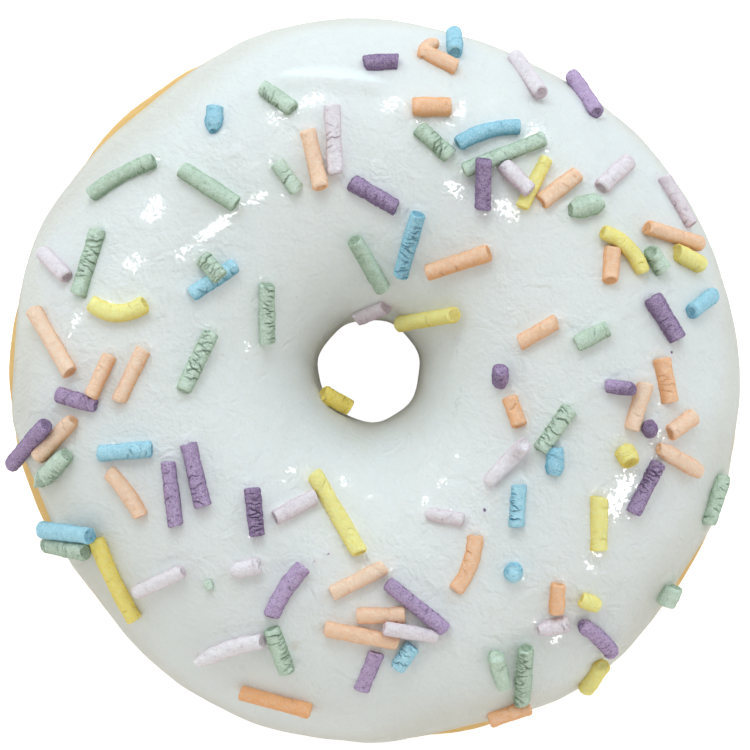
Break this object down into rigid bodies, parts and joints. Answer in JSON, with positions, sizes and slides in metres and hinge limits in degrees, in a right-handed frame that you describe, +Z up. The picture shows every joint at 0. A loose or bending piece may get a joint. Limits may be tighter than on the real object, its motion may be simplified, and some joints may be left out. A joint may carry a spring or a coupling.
{
  "type": "sprinkle frosted doughnut",
  "caption": "Ring doughnut of golden fried dough, with glossy white icing over the top and pastel sugar sprinkles, to rest on a plate, tray or counter.",
  "frame": {"origin": "on the surface that the doughnut rests on, under the middle of its outline seen from above", "axes": "+Z up, square to the ring; the bare bulges of dough below the icing's edge lie towards -X with +Y, towards -X, and towards -Y with +X"},
  "size_m": [0.0918, 0.0904, 0.0351],
  "materials": {
    "dough": "matte",
    "icing": "gloss",
    "sprinkles_sage": "matte",
    "sprinkles_blue": "matte",
    "sprinkles_peach": "matte",
    "sprinkles_lilac": "matte",
    "sprinkles_purple": "matte",
    "sprinkles_yellow": "matte"
  },
  "bodies": {
    "root": {"dough": "dough", "icing": "icing"}
  },
  "joints": []
}
